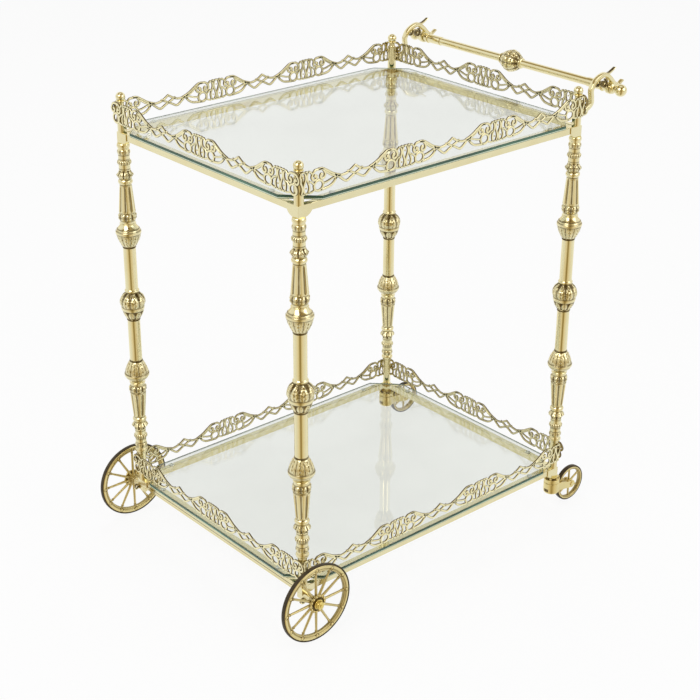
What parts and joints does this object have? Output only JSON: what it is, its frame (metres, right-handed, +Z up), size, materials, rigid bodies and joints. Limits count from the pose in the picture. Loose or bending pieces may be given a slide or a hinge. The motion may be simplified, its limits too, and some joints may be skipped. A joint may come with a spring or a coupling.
{
  "type": "serving trolley",
  "caption": "Tiered serving trolley with glass shelves in pierced galleries, turned legs, a push handle, large spoked wheels at one end and swivel casters at the other.",
  "frame": {"origin": "bottom centre of the trolley's box, on the floor", "axes": "+X along the trolley towards the handle, +Y across it, +Z up"},
  "size_m": [0.7429, 0.5292, 0.7852],
  "materials": {
    "brass": "polished",
    "glass": "clear with green edges",
    "clear_pad": "clear, soft",
    "tyre": "black rubber",
    "steel": "plain"
  },
  "bodies": {
    "frame": {"axle": "brass", "axle_brackets": "brass", "axle_nuts": "steel", "caster_stems": "brass", "finials": "brass", "gallery_posts": "brass", "glass_pads": "clear_pad", "handle_arm_left": "brass", "handle_arm_right": "brass", "handle_ball": "brass", "handle_end_left": "brass", "handle_end_right": "brass", "handle_tubes": "brass", "leg_balls": "brass", "leg_tubes": "brass", "lower_baluster_front_left": "brass", "lower_baluster_front_right": "brass", "lower_baluster_rear_left": "brass", "lower_baluster_rear_right": "brass", "lower_block_front_left": "brass", "lower_block_front_right": "brass", "lower_block_rear_left": "brass", "lower_block_rear_right": "brass", "lower_gallery_ends": "brass", "lower_gallery_sides": "brass", "lower_glass": "glass", "lower_rail_front": "brass", "lower_rail_left": "brass", "lower_rail_rear": "brass", "lower_rail_right": "brass", "tie_rods": "steel", "upper_baluster_front_left": "brass", "upper_baluster_front_right": "brass", "upper_baluster_rear_left": "brass", "upper_baluster_rear_right": "brass", "upper_block_front_left": "brass", "upper_block_front_right": "brass", "upper_block_rear_left": "brass", "upper_block_rear_right": "brass", "upper_gallery_ends": "brass", "upper_gallery_sides": "brass", "upper_glass": "glass", "upper_rail_front": "brass", "upper_rail_left": "brass", "upper_rail_rear": "brass", "upper_rail_right": "brass"},
    "wheel_left_body": {"hub_cap_left": "brass", "tyre_left": "tyre", "wheel_left": "brass"},
    "wheel_right_body": {"hub_cap_right": "brass", "tyre_right": "tyre", "wheel_right": "brass"},
    "caster_left": {"caster_hood_left": "brass", "caster_pin_left": "brass"},
    "caster_right": {"caster_hood_right": "brass", "caster_pin_right": "brass"},
    "caster_wheel_left_body": {"caster_tyre_left": "tyre", "caster_wheel_left": "brass"},
    "caster_wheel_right_body": {"caster_tyre_right": "tyre", "caster_wheel_right": "brass"}
  },
  "joints": [
    {"name": "wheel_left_spin", "type": "hinge", "parent": "frame", "child": "wheel_left_body", "pos_m": [-0.3055, -0.25, 0.066], "axis": [0, 1, 0], "continuous": true},
    {"name": "caster_left_swivel", "type": "hinge", "parent": "frame", "child": "caster_left", "pos_m": [0.2645, -0.218, 0.045], "axis": [0, 0, 1], "continuous": true},
    {"name": "caster_left_spin", "type": "hinge", "parent": "caster_left", "child": "caster_wheel_left_body", "pos_m": [0.3105, -0.218, 0.033], "axis": [0, 1, 0], "continuous": true},
    {"name": "wheel_right_spin", "type": "hinge", "parent": "frame", "child": "wheel_right_body", "pos_m": [-0.3055, 0.25, 0.066], "axis": [0, 1, 0], "continuous": true},
    {"name": "caster_right_swivel", "type": "hinge", "parent": "frame", "child": "caster_right", "pos_m": [0.2645, 0.218, 0.045], "axis": [0, 0, 1], "continuous": true},
    {"name": "caster_right_spin", "type": "hinge", "parent": "caster_right", "child": "caster_wheel_right_body", "pos_m": [0.3105, 0.218, 0.033], "axis": [0, 1, 0], "continuous": true}
  ]
}
